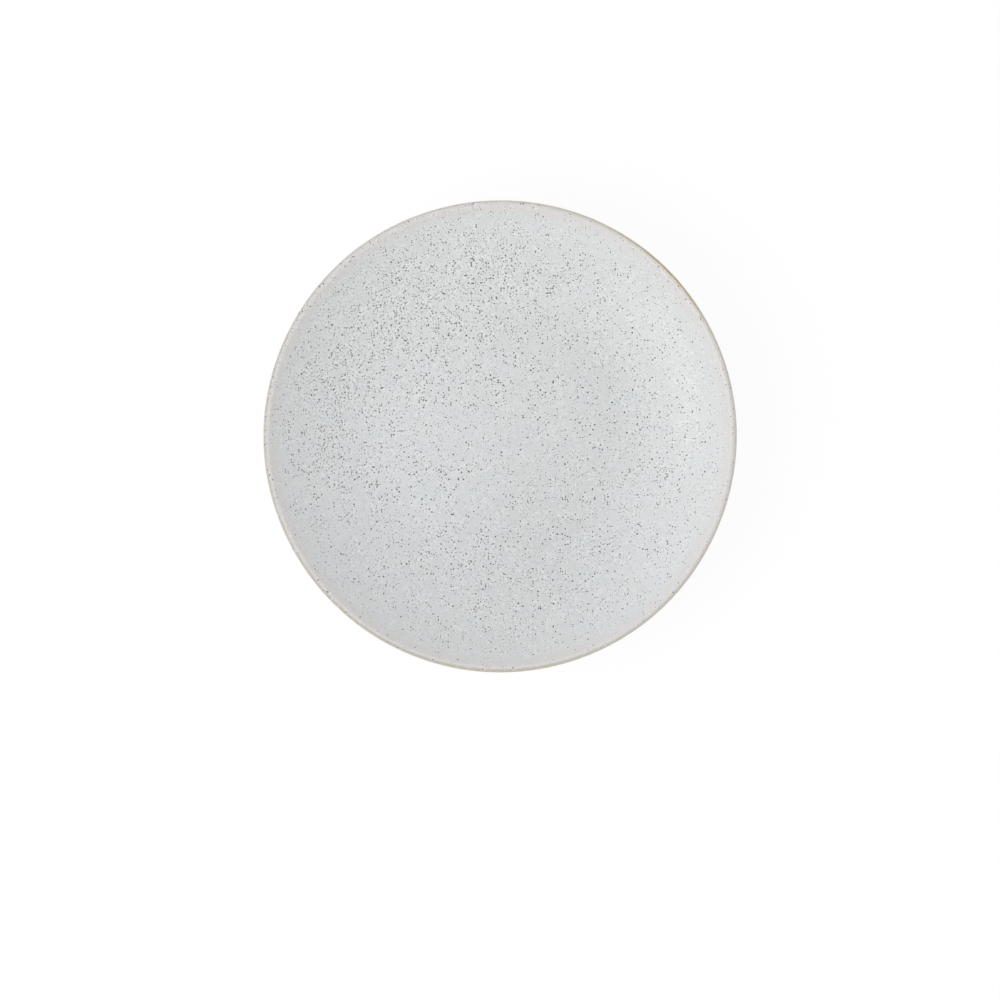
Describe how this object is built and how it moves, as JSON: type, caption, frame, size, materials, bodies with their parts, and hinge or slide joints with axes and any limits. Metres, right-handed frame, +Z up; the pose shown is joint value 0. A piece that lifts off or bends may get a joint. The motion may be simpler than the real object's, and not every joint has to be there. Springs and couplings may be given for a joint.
{
  "type": "deep plate",
  "caption": "Round deep coupe plate in speckled glazed stoneware, with a flat well, curved rising wall, rounded honey-toned lip and low foot ring, for serving food.",
  "frame": {"origin": "centre of the foot ring, on the plane that the plate stands on", "axes": "+Z up along the plate's axis of turning; +X and +Y across the plate, with no preferred direction"},
  "size_m": [0.255, 0.255, 0.0375],
  "materials": {
    "clay_body": "matte",
    "inside_glaze": "satin",
    "rim_band": "satin",
    "outside_glaze": "satin",
    "base_glaze": "satin"
  },
  "bodies": {
    "root": {"clay_body": "clay_body", "inside_glaze": "inside_glaze", "rim_band": "rim_band", "outside_glaze": "outside_glaze", "base_glaze": "base_glaze"}
  },
  "joints": []
}
